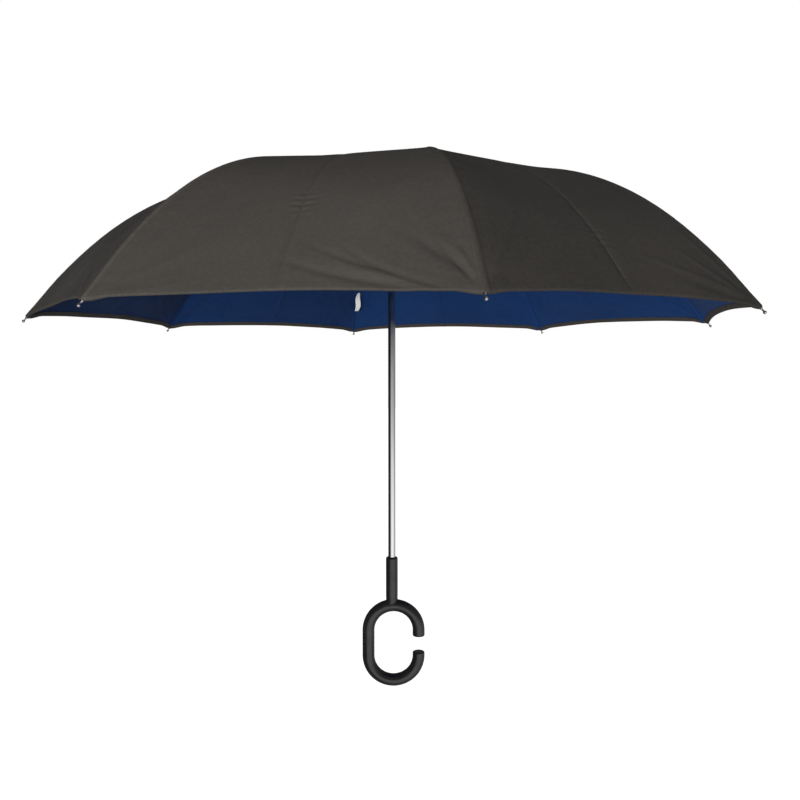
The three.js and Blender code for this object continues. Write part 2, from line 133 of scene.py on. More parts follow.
ARC_STEPS = 240
STEP_SLOPES = slope_at((np.arange(ARC_STEPS) + 0.5) / ARC_STEPS)
ARC_LENGTH = (RIM_RADIUS - ELBOW_RADIUS) / np.cos(STEP_SLOPES).mean()
ELBOW_HEIGHT = RIM_HEIGHT + ARC_LENGTH * np.sin(STEP_SLOPES).mean()
ARC_TABLE = np.linspace(0, ARC_LENGTH, ARC_STEPS + 1)
RADIUS_TABLE = ELBOW_RADIUS + np.append(0, np.cumsum(np.cos(STEP_SLOPES))) * ARC_LENGTH / ARC_STEPS
HEIGHT_TABLE = ELBOW_HEIGHT - np.append(0, np.cumsum(np.sin(STEP_SLOPES))) * ARC_LENGTH / ARC_STEPS


def crown_height(radius):
    return ELBOW_HEIGHT + (ELBOW_RADIUS - radius) * math.tan(CROWN_SLOPE)


RUNNER_PIVOT = crown_height(PIVOT_RADIUS) - RUNNER_DROP
inner_elbow_radius = ELBOW_RADIUS - LAYER_DISTANCE * math.sin(CROWN_SLOPE)
inner_elbow_height = ELBOW_HEIGHT - LAYER_DISTANCE * math.cos(CROWN_SLOPE)
INNER_SLOPE = math.atan2(
    RUNNER_PIVOT - HUB_DROP - inner_elbow_height, inner_elbow_radius - HUB_RADIUS)
OUTER_START = -(ELBOW_RADIUS - CROWN_RADIUS) / math.cos(CROWN_SLOPE)
INNER_START = -(inner_elbow_radius - HUB_RADIUS) / math.cos(INNER_SLOPE)
FLEX_REACH = FLEX_SHARE * ARC_LENGTH


def rib_line(reach, depth, crown_slope):
    """Radius, height and slope on a rib's line, at a distance past the elbow and a depth under the cloth."""
    on_arc = np.clip(reach, 0, ARC_LENGTH)
    slope = slope_at(on_arc / ARC_LENGTH)
    past = np.maximum(reach - ARC_LENGTH, 0)
    before = np.minimum(reach, 0)
    radius = np.interp(on_arc, ARC_TABLE, RADIUS_TABLE)
    height = np.interp(on_arc, ARC_TABLE, HEIGHT_TABLE)
    radius = radius + past * np.cos(slope) - depth * np.sin(slope) + before * math.cos(crown_slope)
    height = height - past * np.sin(slope) - depth * np.cos(slope) - before * math.sin(crown_slope)
    return radius, height, np.where(reach < 0, crown_slope, slope)


def smooth(value, low, high):
    """0 below low, 1 above high and an even curve between."""
    share = np.clip((value - low) / (high - low), 0, 1)
    return share * share * (3 - 2 * share)


def rib_angle(rib):
    return FIRST_RIB + rib * STEP


# ---------------------------------------------------------------- the shape of the stretched cloth
# place counts ribs round the shaft: 2.5 is half way from rib 2 to rib 3.
def gore_of(place):
    rib = np.floor(place)
    return rib.astype(int) % RIB_COUNT, place - rib


def gore_width(reach):
    return 2 * rib_line(reach, 0, CROWN_SLOPE)[0] * math.sin(STEP / 2)


def hem_reach(place):
    """Where the hem is: at the full reach on a rib, and drawn in between two ribs."""
    gore, share = gore_of(place)
    off_rib = 1 - np.abs(2 * share - 1)
    return ARC_LENGTH - SCALLOPS[gore] * (2 * off_rib - off_rib ** 2)


def split_reach(place):
    """Where each layer is divided into the sheet on the steel rib and the one on the rod."""
    share = gore_of(place)[1]
    return FLEX_REACH + SPLIT_REACH * (1 - np.abs(2 * share - 1))


def fold_line(turn, far, angle, bend, width, start, end):
    """1 along one fold that leaves a corner at an angle from the rib, bending as it goes, and 0 beside it."""
    aside = (turn - angle - bend * (far - 0.08)) * far
    fading = smooth(far, start, start + 0.03) * (1 - smooth(far, 0.55 * end, end))
    return np.exp(-(aside / width) ** 2) * fading


class Folds:
    """Folds of one layer. Lifts are in metres, outwards, and vanish on the ribs."""

    FAN_COUNT = 6
    WAVE_COUNT = 6

    def __init__(self, sag, crease, fan, slack):
        self.sag = sag
        self.crease = crease
        self.fan = fan
        self.slack = slack
        corners = (RIB_COUNT, 2, self.FAN_COUNT)
        spread = np.linspace(0.25, 1.42, self.FAN_COUNT)
        self.fan_angle = spread + random.uniform(-0.08, 0.08, corners)
        self.fan_width = random.uniform(0.004, 0.009, corners)
        self.fan_bend = random.uniform(-2.2, 0.8, corners)
        self.fan_height = random.uniform(0.35, 1.0, corners) * random.choice([1, -1], corners)
        self.fan_end = random.uniform(0.08, 0.22, corners)
        waves = (RIB_COUNT, self.WAVE_COUNT)
        self.wave_across = random.uniform(-34, 34, waves)
        self.wave_along = random.uniform(-40, 40, waves)
        self.wave_phase = random.uniform(0, 2 * math.pi, waves)
        self.pucker_phase = random.uniform(0, 2 * math.pi, (RIB_COUNT, 2))
        self.pucker_reach = random.uniform(0.50, 0.75, RIB_COUNT) * ARC_LENGTH

    def fan_lift(self, gore, side, turn, far):
        lift = 0
        for fold in range(self.FAN_COUNT):
            shape = (table[gore, side, fold] for table in (self.fan_angle, self.fan_bend, self.fan_width))
            line = fold_line(turn, far, *shape, 0.01, self.fan_end[gore, side, fold])
            lift = lift + self.fan_height[gore, side, fold] * line
        return self.fan * FANS[gore, side] * lift

    def lift(self, place, reach):
        gore, share = gore_of(place)
        width = gore_width(reach)
        to_rim = ARC_LENGTH - reach
        from_sides = [share * width, (1 - share) * width]
        free = smooth(np.minimum(*from_sides), 0, 0.014)
        bow = 4 * share * (1 - share)
        size = width / (2 * RIM_RADIUS * math.sin(STEP / 2))
        middle = np.abs(share - 0.5) * width

        lift = -self.sag * size * bow
        lift = lift - self.crease * np.exp(-middle / 0.004) * smooth(to_rim, 0.0, 0.05) * size
        off_crease = (middle - 0.006) / 0.007
        off_pucker = (reach - self.pucker_reach[gore]) / 0.02
        puckers = np.exp(-off_crease ** 2 - off_pucker ** 2)
        lift = lift + 0.22 * self.crease * puckers * np.sin(reach * 2 * math.pi / 0.011 + share * 9)
        for side, across in enumerate(from_sides):
            far = np.hypot(to_rim, across)
            turn = np.arctan2(across, np.maximum(to_rim, 0))
            lift = lift + self.fan_lift(gore, side, turn, far) * free
            near = across / 0.009 * np.exp(1 - across / 0.009)
            ripple = np.sin(to_rim * 2 * math.pi / 0.021 + self.pucker_phase[gore, side] + 9 * to_rim)
            lift = lift + 0.00014 * near * ripple * size
        for angle, bend, fold_width, height, start, end in FRONT_FOLDS:
            line = fold_line(turn, far, angle, bend, fold_width, start, end)
            lift = lift + height * line * free * (gore == RIB_COUNT - 1)
        for wave in range(self.WAVE_COUNT):
            phase = (self.wave_across[gore, wave] * (share - 0.5) * width
                     + self.wave_along[gore, wave] * to_rim + self.wave_phase[gore, wave])
            lift = lift + self.slack * np.sin(phase) * bow * size
        return lift


OUTER_FOLDS = Folds(sag=0.0042, crease=0.0021, fan=1.0, slack=0.0004)
INNER_FOLDS = Folds(sag=0.014, crease=0.002, fan=2.2, slack=0.0012)


def beside_rib(place, reach):
    """Distance to the nearest rib."""
    share = gore_of(place)[1]
    return np.minimum(share, 1 - share) * gore_width(reach)


def near_hem(reach):
    return smooth(reach, ARC_LENGTH - 0.075, ARC_LENGTH - 0.012)


def outer_depth(place, reach):
    """The outer layer dips to the rod's end at each corner."""
    return 0.0017 * near_hem(reach) * (1 - smooth(beside_rib(place, reach), 0, 0.03))


def inner_depth(place, reach):
    """The inner layer comes up to the outer one along the hem."""
    between = smooth(beside_rib(place, reach), 0.002, 0.03)
    return LAYER_DISTANCE - near_hem(reach) * (0.0016 + 0.0036 * between)


def seam_lift(place, reach):
    """The two gores' edges are turned to one side of the rib, which makes a raised strip there."""
    share = gore_of(place)[1]
    across = share * gore_width(reach)
    return 0.0009 * smooth(across, 0.0002, 0.0014) * (1 - smooth(across, 0.0056, 0.0070))


def outer_lift(place, reach):
    return OUTER_FOLDS.lift(place, reach) + seam_lift(place, reach)


def inner_lift(place, reach):
    shared = near_hem(reach)
    own = INNER_FOLDS.lift(place, reach)
    return OUTER_FOLDS.lift(place, reach) * shared + own * (1 - shared) - seam_lift(place, reach)


class Layer:
    """One layer of cloth: slope inside the elbow, depth, folds and each gore's painted light and shade."""

    def __init__(self, crown_slope, depth, lift, gore_painted_light):
        self.crown_slope = crown_slope
        self.depth = depth
        self.lift = lift
        self.gore_painted_light = gore_painted_light

    def point(self, place, reach, extra_depth):
        """Points of the layer, shape (..., 3). Straight across between two ribs, plus the folds."""
        depth = self.depth(place, reach) + extra_depth
        radius, height, slope = rib_line(reach, depth, self.crown_slope)
        rib = np.floor(place)
        share = place - rib
        before, after = rib_angle(rib), rib_angle(rib + 1)
        x = radius * ((1 - share) * np.cos(before) + share * np.cos(after))
        y = radius * ((1 - share) * np.sin(before) + share * np.sin(after))
        lift = self.lift(place, reach)
        angle = np.arctan2(y, x)
        x = x + lift * np.sin(slope) * np.cos(angle)
        y = y + lift * np.sin(slope) * np.sin(angle)
        return np.stack([x, y, height + lift * np.cos(slope)], axis=-1)

    def normal(self, place, reach, extra_depth, along, down):
        """Outward normals, for a sheet that runs along the rib by `along` and down by `down`."""
        small = 0.0006
        turn = small / np.maximum(gore_width(reach), 0.004)
        ahead = self.point(place, reach + along * small, extra_depth + down * small)
        behind = self.point(place, reach - along * small, extra_depth - down * small)
        left = self.point(place + turn, reach, extra_depth)
        right = self.point(place - turn, reach, extra_depth)
        normal = np.cross(ahead - behind, left - right)
        return normal / np.linalg.norm(normal, axis=-1, keepdims=True)


OUTER = Layer(CROWN_SLOPE, outer_depth, outer_lift, OUTER_PAINTED_LIGHT)
INNER = Layer(INNER_SLOPE, inner_depth, inner_lift, INNER_PAINTED_LIGHT)


# ---------------------------------------------------------------- materials
class Nodes:
    """A material's node tree, with short calls for what the finishes below need."""

    def __init__(self, name, colour, roughness, metallic=0.0):
        self.material = bpy.data.materials.new(name)
        self.material.use_nodes = True
        self.material.diffuse_color = (*colour, 1)
        self.tree = self.material.node_tree
        self.shader = self.tree.nodes["Principled BSDF"]
        self.shader.inputs["Base Color"].default_value = (*colour, 1)
        self.shader.inputs["Roughness"].default_value = roughness
        self.shader.inputs["Metallic"].default_value = metallic

    def node(self, kind, **inputs):
        node = self.tree.nodes.new(kind)
        for name, value in inputs.items():
            self.feed(node.inputs[name.replace("_", " ")], value)
        return node

    def feed(self, socket, value):
        if isinstance(value, bpy.types.NodeSocket):
            self.tree.links.new(value, socket)
        else:
            socket.default_value = value

    def math(self, operation, *values):
        node = self.tree.nodes.new("ShaderNodeMath")
        node.operation = operation
        for socket, value in zip(node.inputs, values):
            self.feed(socket, value)
        return node.outputs[0]

    def uv(self, name):
        node = self.tree.nodes.new("ShaderNodeUVMap")
        node.uv_map = name
        parts = self.node("ShaderNodeSeparateXYZ", Vector=node.outputs[0])
        return parts.outputs["X"], parts.outputs["Y"]

    def noise(self, scale, detail=2.0, stretch=(1, 1, 1)):
        place = self.tree.nodes.new("ShaderNodeTexCoord").outputs["Object"]
        mapping = self.node("ShaderNodeMapping", Vector=place, Scale=stretch)
        noise = self.node("ShaderNodeTexNoise", Vector=mapping.outputs[0], Scale=scale, Detail=detail)
        return noise.outputs["Fac"]

    def range(self, value, low, high, to_low, to_high):
        node = self.node("ShaderNodeMapRange", Value=value)
        for name, number in (("From Min", low), ("From Max", high), ("To Min", to_low), ("To Max", to_high)):
            node.inputs[name].default_value = number
        return node.outputs[0]

    def mix(self, share, first, second):
        node = self.tree.nodes.new("ShaderNodeMix")
        node.data_type = "RGBA"
        for socket, value in ((node.inputs[0], share), (node.inputs[6], first), (node.inputs[7], second)):
            self.feed(socket, value)
        return node.outputs[2]

    def colour(self, value):
        self.feed(self.shader.inputs["Base Color"], value)

    def roughness(self, value):
        self.feed(self.shader.inputs["Roughness"], value)

    def bump(self, *layers):
        """Layers of (height, strength, distance), each laid on the one before."""
        normal = None
        for height, strength, distance in layers:
            node = self.node("ShaderNodeBump", Height=height, Strength=strength, Distance=distance)
            if normal:
                self.feed(node.inputs["Normal"], normal)
            normal = node.outputs[0]
        self.feed(self.shader.inputs["Normal"], normal)


def rgba(red, green, blue):
    return (red, green, blue, 1)


def stitch_line(nodes, across, line, along):
    """1 on the threads of a stitched line, at a distance across and dashed along."""
    on_line = nodes.math("COMPARE", across, line, 0.00034)
    dash = nodes.math("LESS_THAN", nodes.math("FRACT", nodes.math("DIVIDE", along, STITCH)), 0.68)
    return nodes.math("MULTIPLY", on_line, dash)


def cloth_material(name, dark, light, thread, sheen):
    nodes = Nodes(name, dark[:3], 0.82)
    nodes.shader.inputs["Sheen Weight"].default_value = sheen
    nodes.shader.inputs["Sheen Roughness"].default_value = 0.45
    nodes.shader.inputs["Sheen Tint"].default_value = thread
    nodes.shader.inputs["Specular IOR Level"].default_value = 0.25
    across, along = nodes.uv("weave")
    beside, from_hem = nodes.uv("edges")
    pitch = 2 * math.pi / THREAD_PITCH
    warp = nodes.math("SINE", nodes.math("MULTIPLY", across, pitch))
    weft = nodes.math("SINE", nodes.math("MULTIPLY", along, pitch))
    weave = nodes.math("MULTIPLY_ADD", nodes.math("MULTIPLY", warp, weft), 0.5, 0.5)
    seam_threads = stitch_line(nodes, beside, SEAM_STITCH, along)
    hem_threads = stitch_line(nodes, from_hem, HEM_STITCH, across)
    threads = nodes.math("MULTIPLY", nodes.math("MAXIMUM", seam_threads, hem_threads), 0.5)
    # each gore's painted light and shade, slightly faded patches, then the weave's own light and dark
    patches = nodes.range(nodes.noise(7, 4), 0.3, 0.7, -0.12, 0.12)
    panel = nodes.uv("panel")[0]
    # painted highlight: a strip on one side of each seam, where the gores' edges are turned over, is painted
    # lighter as if lit
    seam_painted_highlight = nodes.math("COMPARE", across, 0.0034, 0.0024)
    slubs = nodes.range(nodes.noise(260, 2), 0.3, 0.7, -0.12, 0.12)
    weave_tone = nodes.range(weave, 0, 1, -0.1, 0.1)
    tone = nodes.math("ADD", nodes.math("ADD", panel, patches), nodes.math("ADD", slubs, weave_tone))
    cloth = nodes.mix(nodes.math("MULTIPLY_ADD", seam_painted_highlight, 0.35, tone), dark, light)
    nodes.colour(nodes.mix(threads, cloth, thread))
    nodes.roughness(nodes.range(nodes.noise(30, 3), 0.3, 0.7, 0.76, 0.9))
    nodes.bump((nodes.noise(45, 3), 0.25, 0.0012), (weave, 0.35, 0.00012), (threads, 0.6, 0.0004))
    return nodes.material


def plastic_material(name, colour, roughness):
    nodes = Nodes(name, colour[:3], roughness)
    nodes.shader.inputs["Specular IOR Level"].default_value = 0.7
    worn = nodes.range(nodes.noise(38, 4), 0.45, 0.75, 0, 0.4)
    nodes.colour(nodes.mix(worn, colour, rgba(0.02, 0.02, 0.021)))
    nodes.roughness(nodes.range(nodes.noise(90, 4), 0.3, 0.7, roughness - 0.07, roughness + 0.08))
    nodes.bump((nodes.noise(1500, 2), 0.12, 0.0001), (nodes.noise(60, 2), 0.05, 0.0006))
    return nodes.material


def metal_material(name, dark, light, roughness, streaks):
    nodes = Nodes(name, light[:3], roughness, metallic=1.0)
    drawn = nodes.noise(420, 3, streaks)
    nodes.colour(nodes.mix(nodes.range(drawn, 0.35, 0.65, 0, 1), dark, light))
    nodes.roughness(nodes.range(nodes.noise(25, 4), 0.35, 0.7, roughness, roughness * 1.8))
    nodes.bump((drawn, 0.03, 0.0001))
    return nodes.material


def coated_material(name, colour, roughness):
    nodes = Nodes(name, colour[:3], roughness)
    nodes.shader.inputs["Coat Weight"].default_value = 0.3
    nodes.shader.inputs["Coat Roughness"].default_value = 0.25
    worn = nodes.range(nodes.noise(120, 3), 0.4, 0.7, 0, 0.5)
    nodes.colour(nodes.mix(worn, colour, rgba(0.06, 0.06, 0.062)))
    nodes.bump((nodes.noise(700, 2), 0.1, 0.0001))
    return nodes.material


def label_material():
    nodes = Nodes("label_tape", (0.82, 0.82, 0.8), 0.6)
    along = nodes.uv("weave")[1]
    ribbed = nodes.math("SINE", nodes.math("MULTIPLY", along, 2 * math.pi / 0.0005))
    tone = nodes.range(nodes.noise(120, 3), 0.3, 0.7, 0, 1)
    nodes.colour(nodes.mix(tone, rgba(0.74, 0.74, 0.72), rgba(0.86, 0.86, 0.85)))
    nodes.bump((ribbed, 0.25, 0.0001))
    return nodes.material


MATERIALS = {
    "outer_cloth": cloth_material(
        "charcoal_cloth", dark=rgba(0.030, 0.0275, 0.0250), light=rgba(0.066, 0.0590, 0.0525),
        thread=rgba(0.036, 0.033, 0.03), sheen=0.05),
    "inner_cloth": cloth_material(
        "navy_cloth", dark=rgba(0.004, 0.021, 0.080), light=rgba(0.009, 0.041, 0.150),
        thread=rgba(0.005, 0.018, 0.06), sheen=0.0),
    "handle_plastic": plastic_material("handle_plastic", rgba(0.006, 0.006, 0.0065), 0.28),
    "hub_plastic": plastic_material("hub_plastic", rgba(0.010, 0.010, 0.011), 0.40),
    "polished_steel": metal_material(
        "polished_steel", rgba(0.66, 0.66, 0.68), rgba(0.80, 0.80, 0.82), 0.09, (1, 1, 0.02)),
    "rib_steel": coated_material("coated_steel", rgba(0.03, 0.03, 0.032), 0.4),
    "glass_fibre": coated_material("glass_fibre", rgba(0.02, 0.02, 0.02), 0.45),
    "label_cloth": label_material(),
}


def finish_with(obj, slot):
    obj.data.materials.clear()
    obj.data.materials.append(MATERIALS[slot])


def dress(obj, slot, body):
    finish_with(obj, slot)
    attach(obj, body)


# Carried-over CAD nodes get the finish of their slot.
for row in frame["record"]["subparts"]:
    finish_with(frame["nodes"][row["node"]], row["material_slot"])


# ---------------------------------------------------------------- mesh helpers
def new_object(name, mesh):
    obj = bpy.data.objects.new(name, mesh)
    bpy.context.scene.collection.objects.link(obj)
    return obj


def mesh_object(name, build):
    mesh = bpy.data.meshes.new(name)
    build.to_mesh(mesh)
    build.free()
    return new_object(name, mesh)


def sheet_object(name, faces_up, faces_down, normals, uv_grids):
    """A thin closed sheet from two grids of points, shape (rows, columns, 3)."""
    rows, columns = faces_up.shape[:2]
    count = rows * columns
    index = np.arange(count).reshape(rows, columns)
    quads = np.stack([index[:-1, :-1], index[1:, :-1], index[1:, 1:], index[:-1, 1:]], axis=-1)
    quads = quads.reshape(-1, 4)
    loop = np.concatenate([index[0, :], index[1:, -1], index[-1, -2::-1], index[-2:0:-1, 0]])
    ahead = np.roll(loop, -1)
    walls = np.stack([loop, ahead, ahead + count, loop + count], axis=-1)
    faces = np.concatenate([quads, quads[:, ::-1] + count, walls])
    points = np.concatenate([faces_up.reshape(-1, 3), faces_down.reshape(-1, 3)])
    mesh = bpy.data.meshes.new(name)
    mesh.from_pydata(points.tolist(), [], faces.tolist())
    for layer_name, grid in uv_grids.items():
        layer = mesh.uv_layers.new(name=layer_name)
        both = np.concatenate([grid.reshape(-1, 2)] * 2)
        layer.data.foreach_set("uv", both[faces.ravel()].astype(np.float32).ravel())
    mesh.shade_smooth()
    flat = normals.reshape(-1, 3)
    mesh.normals_split_custom_set_from_vertices(np.concatenate([flat, -flat]).tolist())
    return new_object(name, mesh)


def turned(name, outline, segments=96):
    """A solid of revolution about Z from a closed outline of (radius, height), or an open one between two
    points on the axis."""
    build = bmesh.new()
    on_axis = outline[0][0] == 0
    corners = [build.verts.new((radius, 0, height)) for radius, height in outline]
    pairs = list(zip(corners, corners[1:]))
    if not on_axis:
        pairs.append((corners[-1], corners[0]))
    edges = [build.edges.new(pair) for pair in pairs]
    bmesh.ops.spin(
        build, geom=corners + edges, cent=(0, 0, 0), axis=(0, 0, 1), angle=2 * math.pi, steps=segments)
    bmesh.ops.remove_doubles(build, verts=build.verts, dist=1e-6)
    bmesh.ops.recalc_face_normals(build, faces=build.faces)
    return mesh_object(name, build)


def apply_modifiers(obj):
    graph = bpy.context.evaluated_depsgraph_get()
    mesh = bpy.data.meshes.new_from_object(obj.evaluated_get(graph))
    obj.modifiers.clear()
    obj.data = mesh


def shade(obj, sharp_angle=50):
    """Even shading, broken only at edges sharper than an angle."""
    obj.data.shade_smooth()
    obj.data.set_sharp_from_angle(angle=math.radians(sharp_angle))


def rounded(obj, width):
    """Small bevels on sharp edges, and even shading."""
    bevel = obj.modifiers.new("bevel", "BEVEL")
    bevel.width = width
    bevel.segments = 3
    bevel.limit_method = "ANGLE"
    bevel.angle_limit = math.radians(35)
    bevel.use_clamp_overlap = True
    apply_modifiers(obj)
    shade(obj)


def combine(obj, operation, tool):
    """Adds a tool to a piece or cuts it away, and removes the tool."""
    boolean = obj.modifiers.new("combine", "BOOLEAN")
    boolean.operation = operation
    boolean.solver = "EXACT"
    boolean.object = tool
    apply_modifiers(obj)
    bpy.data.objects.remove(tool)


def boxes(name, low, high, angles=(0,)):
    """One mesh with a box between two corners, turned about Z to each angle."""
    build = bmesh.new()
    size = [top - bottom for bottom, top in zip(low, high)]
    middle = [(top + bottom) / 2 for bottom, top in zip(low, high)]
    for angle in angles:
        cos, sin = math.cos(angle), math.sin(angle)
        for vert in bmesh.ops.create_cube(build, size=1)["verts"]:
            x, y, z = (middle[axis] + vert.co[axis] * size[axis] for axis in range(3))
            vert.co = (x * cos - y * sin, x * sin + y * cos, z)
    return mesh_object(name, build)


# ---------------------------------------------------------------- canopy
class Sheet:
    """Rows of one cloth piece: distance along the rib, extra depth, and which way the cloth runs there."""

    def __init__(self, rib, half_columns):
        turns = np.linspace(-1, 1, 2 * half_columns + 1)
        # the columns lie closer together beside the rib and in the middle of the gore
        self.off_rib = 0.2 * turns + 0.8 * np.sign(turns) * (1 - np.cos(math.pi * turns)) / 2
        self.place = rib + self.off_rib / 2
        self.start = 0 * self.place
        self.split = split_reach(self.place)
        self.hem = hem_reach(self.place)
        self.rows = []

    def run(self, start, end, steps, first=True):
        """Even rows from start to end, with or without the one at the start."""
        for step in range(0 if first else 1, steps + 1):
            self.add(start + (end - start) * step / steps, 0, 1, 0)

    def add(self, reach, depth, along, down):
        level = 0 * reach
        self.rows.append((reach, level + depth, level + along, level + down))

    def add_flap(self, width, depth, rise):
        """Goes on past the split, between the layers, to fill the gap that opens there on closing."""
        along = (0.006 + width * np.abs(self.off_rib)) / 4
        for step in range(5):
            self.add(self.split + 0.0015 + step * along, depth + rise * step * along, 1, rise)

    def turn_hem(self):
        """Round the hem and back under the navy edge."""
        apart = inner_depth(self.place, self.hem) - outer_depth(self.place, self.hem)
        fold_depth = apart + 2 * CLOTH + 0.0003
        radius = fold_depth / 2
        for bend in np.linspace(0, math.pi, 9)[1:]:
            past = radius * math.sin(bend)
            self.add(self.hem + past, radius * (1 - math.cos(bend)), math.cos(bend), math.sin(bend))
        for back in (0.3, 0.65, 1):
            self.add(self.hem - HEM_FOLD * back, fold_depth, -1, 0)

    def grids(self):
        reach, depth, along, down = (np.stack(column) for column in zip(*self.rows))
        return np.broadcast_to(self.place, reach.shape), reach, depth, along, down


def add_cloth(name, rib, layer, rows, slot, body, node):
    """One canopy piece, from a sheet's rows. Its weave and edges grids place threads; its panel grid, painted
    light and shade.
    """
    place, reach, depth, along, down = rows.grids()
    up = layer.point(place, reach, depth)
    low = layer.point(place, reach - down * CLOTH, depth + along * CLOTH)
    normals = layer.normal(place, reach, depth, along, down)
    lengths = np.linalg.norm(np.diff(up, axis=0), axis=-1)
    run = np.concatenate([np.zeros((1, up.shape[1])), np.cumsum(lengths, axis=0)])
    beside = (place - rib) * gore_width(reach)
    weave = np.stack([beside, run + 0.2], axis=-1)
    edges = np.stack([np.abs(beside), hem_reach(place) - reach], axis=-1)
    # painted light and shade: each gore's lighter or darker value, for how the light falls on it
    tone = np.stack([layer.gore_painted_light[gore_of(place)[0]], 0 * beside], axis=-1)
    obj = sheet_object(name, up, low, normals, {"weave": weave, "edges": edges, "panel": tone})
    dress(obj, slot, body)
    if node:
        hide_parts(node)
    # a sheet that curves over its width is longer than any one line along it
    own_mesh(obj)


def add_gore_pieces(rib):
    """Outer layer: a crown sheet, a middle one and a rim. Inner layer: a crown sheet and a rim."""
    number = rib + 1
    steel = f"inner_rib_{number}"
    fibre = f"outer_rib_{number}"
    arm = f"stretcher_arm_{number}"

    crown = Sheet(rib, 36)
    crown.run(crown.start + OUTER_START, crown.start, 30)
    add_cloth(f"outer_crown_{number}", rib, OUTER, crown, "outer_cloth", arm, None)

    middle = Sheet(rib, 48)
    middle.run(middle.start, middle.split, 30)
    middle.add_flap(0.010, 0.0011, 0)
    add_cloth(f"outer_middle_{number}", rib, OUTER, middle, "outer_cloth", steel, None)

    rim = Sheet(rib, 60)
    rim.run(rim.split, rim.hem, 72)
    rim.turn_hem()
    add_cloth(f"outer_rim_{number}", rib, OUTER, rim, "outer_cloth", fibre, f"outer_canopy_{number}")

    crown = Sheet(rib, 36)
    crown.run(crown.start + INNER_START, crown.start, 24)
    crown.run(crown.start, crown.split, 20, first=False)
    crown.add_flap(0.034, -0.0011, -0.2)
    add_cloth(f"inner_crown_{number}", rib, INNER, crown, "inner_cloth", steel, None)

    rim = Sheet(rib, 48)
    rim.run(rim.split, rim.hem - 0.002, 60)
    add_cloth(f"inner_rim_{number}", rib, INNER, rim, "inner_cloth", fibre, f"inner_canopy_{number}")


for rib in range(RIB_COUNT):
    add_gore_pieces(rib)


# ---------------------------------------------------------------- care label and closure strap
def ribbon(name, line, widths, sides, slot, body, node):
    """A flat ribbon along points, with its width's direction at each point."""
    across = np.linspace(-0.5, 0.5, 9)
    up = np.array([[point + side * width * share for share in across]
                   for point, side, width in zip(line, sides, widths)])
    along = np.gradient(line, axis=0)
    facing = np.cross(along, sides)
    facing /= np.linalg.norm(facing, axis=-1, keepdims=True)
    normals = np.repeat(facing[:, None, :], len(across), axis=1)
    run = np.append(0, np.cumsum(np.linalg.norm(np.diff(line, axis=0), axis=-1)))
    weave = np.stack(np.broadcast_arrays(across[None, :] * widths[:, None], run[:, None]), axis=-1)
    from_edge = widths[:, None] * (0.5 - np.abs(across[None, :]))
    edges = np.stack(np.broadcast_arrays(SEAM_STITCH + from_edge - 0.002, run[:, None] + 0.1), axis=-1)
    # the middle value of the gores' painted light and shade
    tone = np.zeros_like(weave) + 0.5
    uv_grids = {"weave": weave, "edges": edges, "panel": tone}
    obj = sheet_object(name, up, up - normals * CLOTH, normals, uv_grids)
    dress(obj, slot, body)
    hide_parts(node)


def add_label():
    """Sewn beside the rib seam by its gathered top edge, and hanging down, bent and twisted."""
    reach = np.array(0.675 * ARC_LENGTH)
    root = INNER.point(np.array(LABEL_RIB - 0.0075), reach, np.array(CLOTH * 2))
    angle = rib_angle(LABEL_RIB)
    out = np.array([math.cos(angle), math.sin(angle), 0])
    side = np.array([-math.sin(angle), math.cos(angle), 0])
    steps = np.linspace(0, 1, 26)
    line = root + np.outer(-0.036 * steps, [0, 0, 1])
    line += np.outer(0.009 * steps - 0.004 * np.sin(3 * steps), out)
    line += np.outer(0.004 * steps + 0.0014 * np.sin(2 * math.pi * steps), side)
    twist = 1.0 - 0.75 * np.sin(2.4 * steps) + 0.5 * steps
    sides = np.outer(np.cos(twist), side) + np.outer(np.sin(twist), out)
    widths = 0.0110 - 0.0045 * np.exp(-steps / 0.15)
    ribbon("label_tape", line, widths, sides, "label_cloth", f"outer_rib_{LABEL_RIB + 1}",
           "care_label")


def add_strap():
    """Lies along its rib under the navy cloth, with a bound edge and a press stud at its end."""
    count = 40
    reach = np.linspace(0.36, 0.72, count) * ARC_LENGTH
    line = INNER.point(np.full(count, float(STRAP_RIB)), reach, np.full(count, 0.0016))
    angle = rib_angle(STRAP_RIB)
    sides = np.tile([-math.sin(angle), math.cos(angle), 0], (count, 1))
    in_tip = np.clip(np.linspace(0, 1, count) - 0.94, 0, 1) / 0.075
    widths = STRAP_WIDTH * np.sqrt(np.clip(1 - in_tip ** 2, 0.1, 1))
    ribbon("strap_band", line, widths, sides, "inner_cloth", f"outer_rib_{STRAP_RIB + 1}",
           "closure_strap")
    stud_outline = [(0, 0.0014), (0.0032, 0.0012), (0.0050, 0.0004), (0.0050, 0.0), (0, 0)]
    stud = turned("strap_stud", stud_outline, 40)
    rounded(stud, 0.0002)
    stud.location = Vector(line[34]) - Vector((0, 0, 0.0008))
    facing = Vector(np.cross(line[36] - line[32], sides[0]))
    if facing.z > 0:
        facing = -facing
    stud.rotation_euler = facing.to_track_quat("Z", "X").to_euler()
    dress(stud, "polished_steel", f"outer_rib_{STRAP_RIB + 1}")


add_label()
add_strap()


